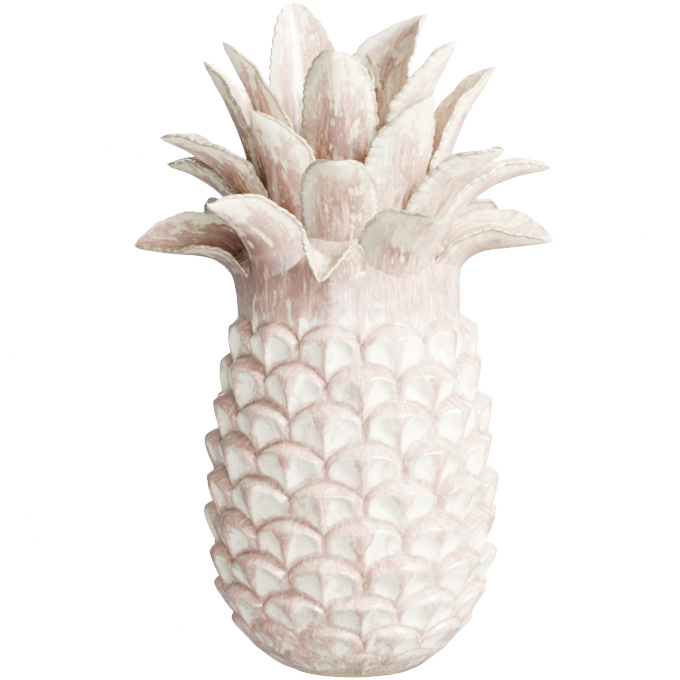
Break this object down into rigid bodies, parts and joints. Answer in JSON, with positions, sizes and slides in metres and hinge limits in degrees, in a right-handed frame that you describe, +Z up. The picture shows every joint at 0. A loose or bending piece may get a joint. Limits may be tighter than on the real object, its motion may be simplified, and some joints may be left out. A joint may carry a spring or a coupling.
{
  "type": "pineapple ornament",
  "caption": "Glazed ceramic pineapple ornament with staggered eyes and a crown of pointed, keeled leaves, on a small unglazed foot.",
  "frame": {"origin": "centre of the round foot, on the surface that the ornament stands on", "axes": "+Z up along the axis of the body, -Y towards the viewer of the picture"},
  "size_m": [0.28, 0.2609, 0.4457],
  "materials": {
    "glaze": "glossy"
  },
  "bodies": {
    "root": {"pineapple": "glaze"}
  },
  "joints": []
}
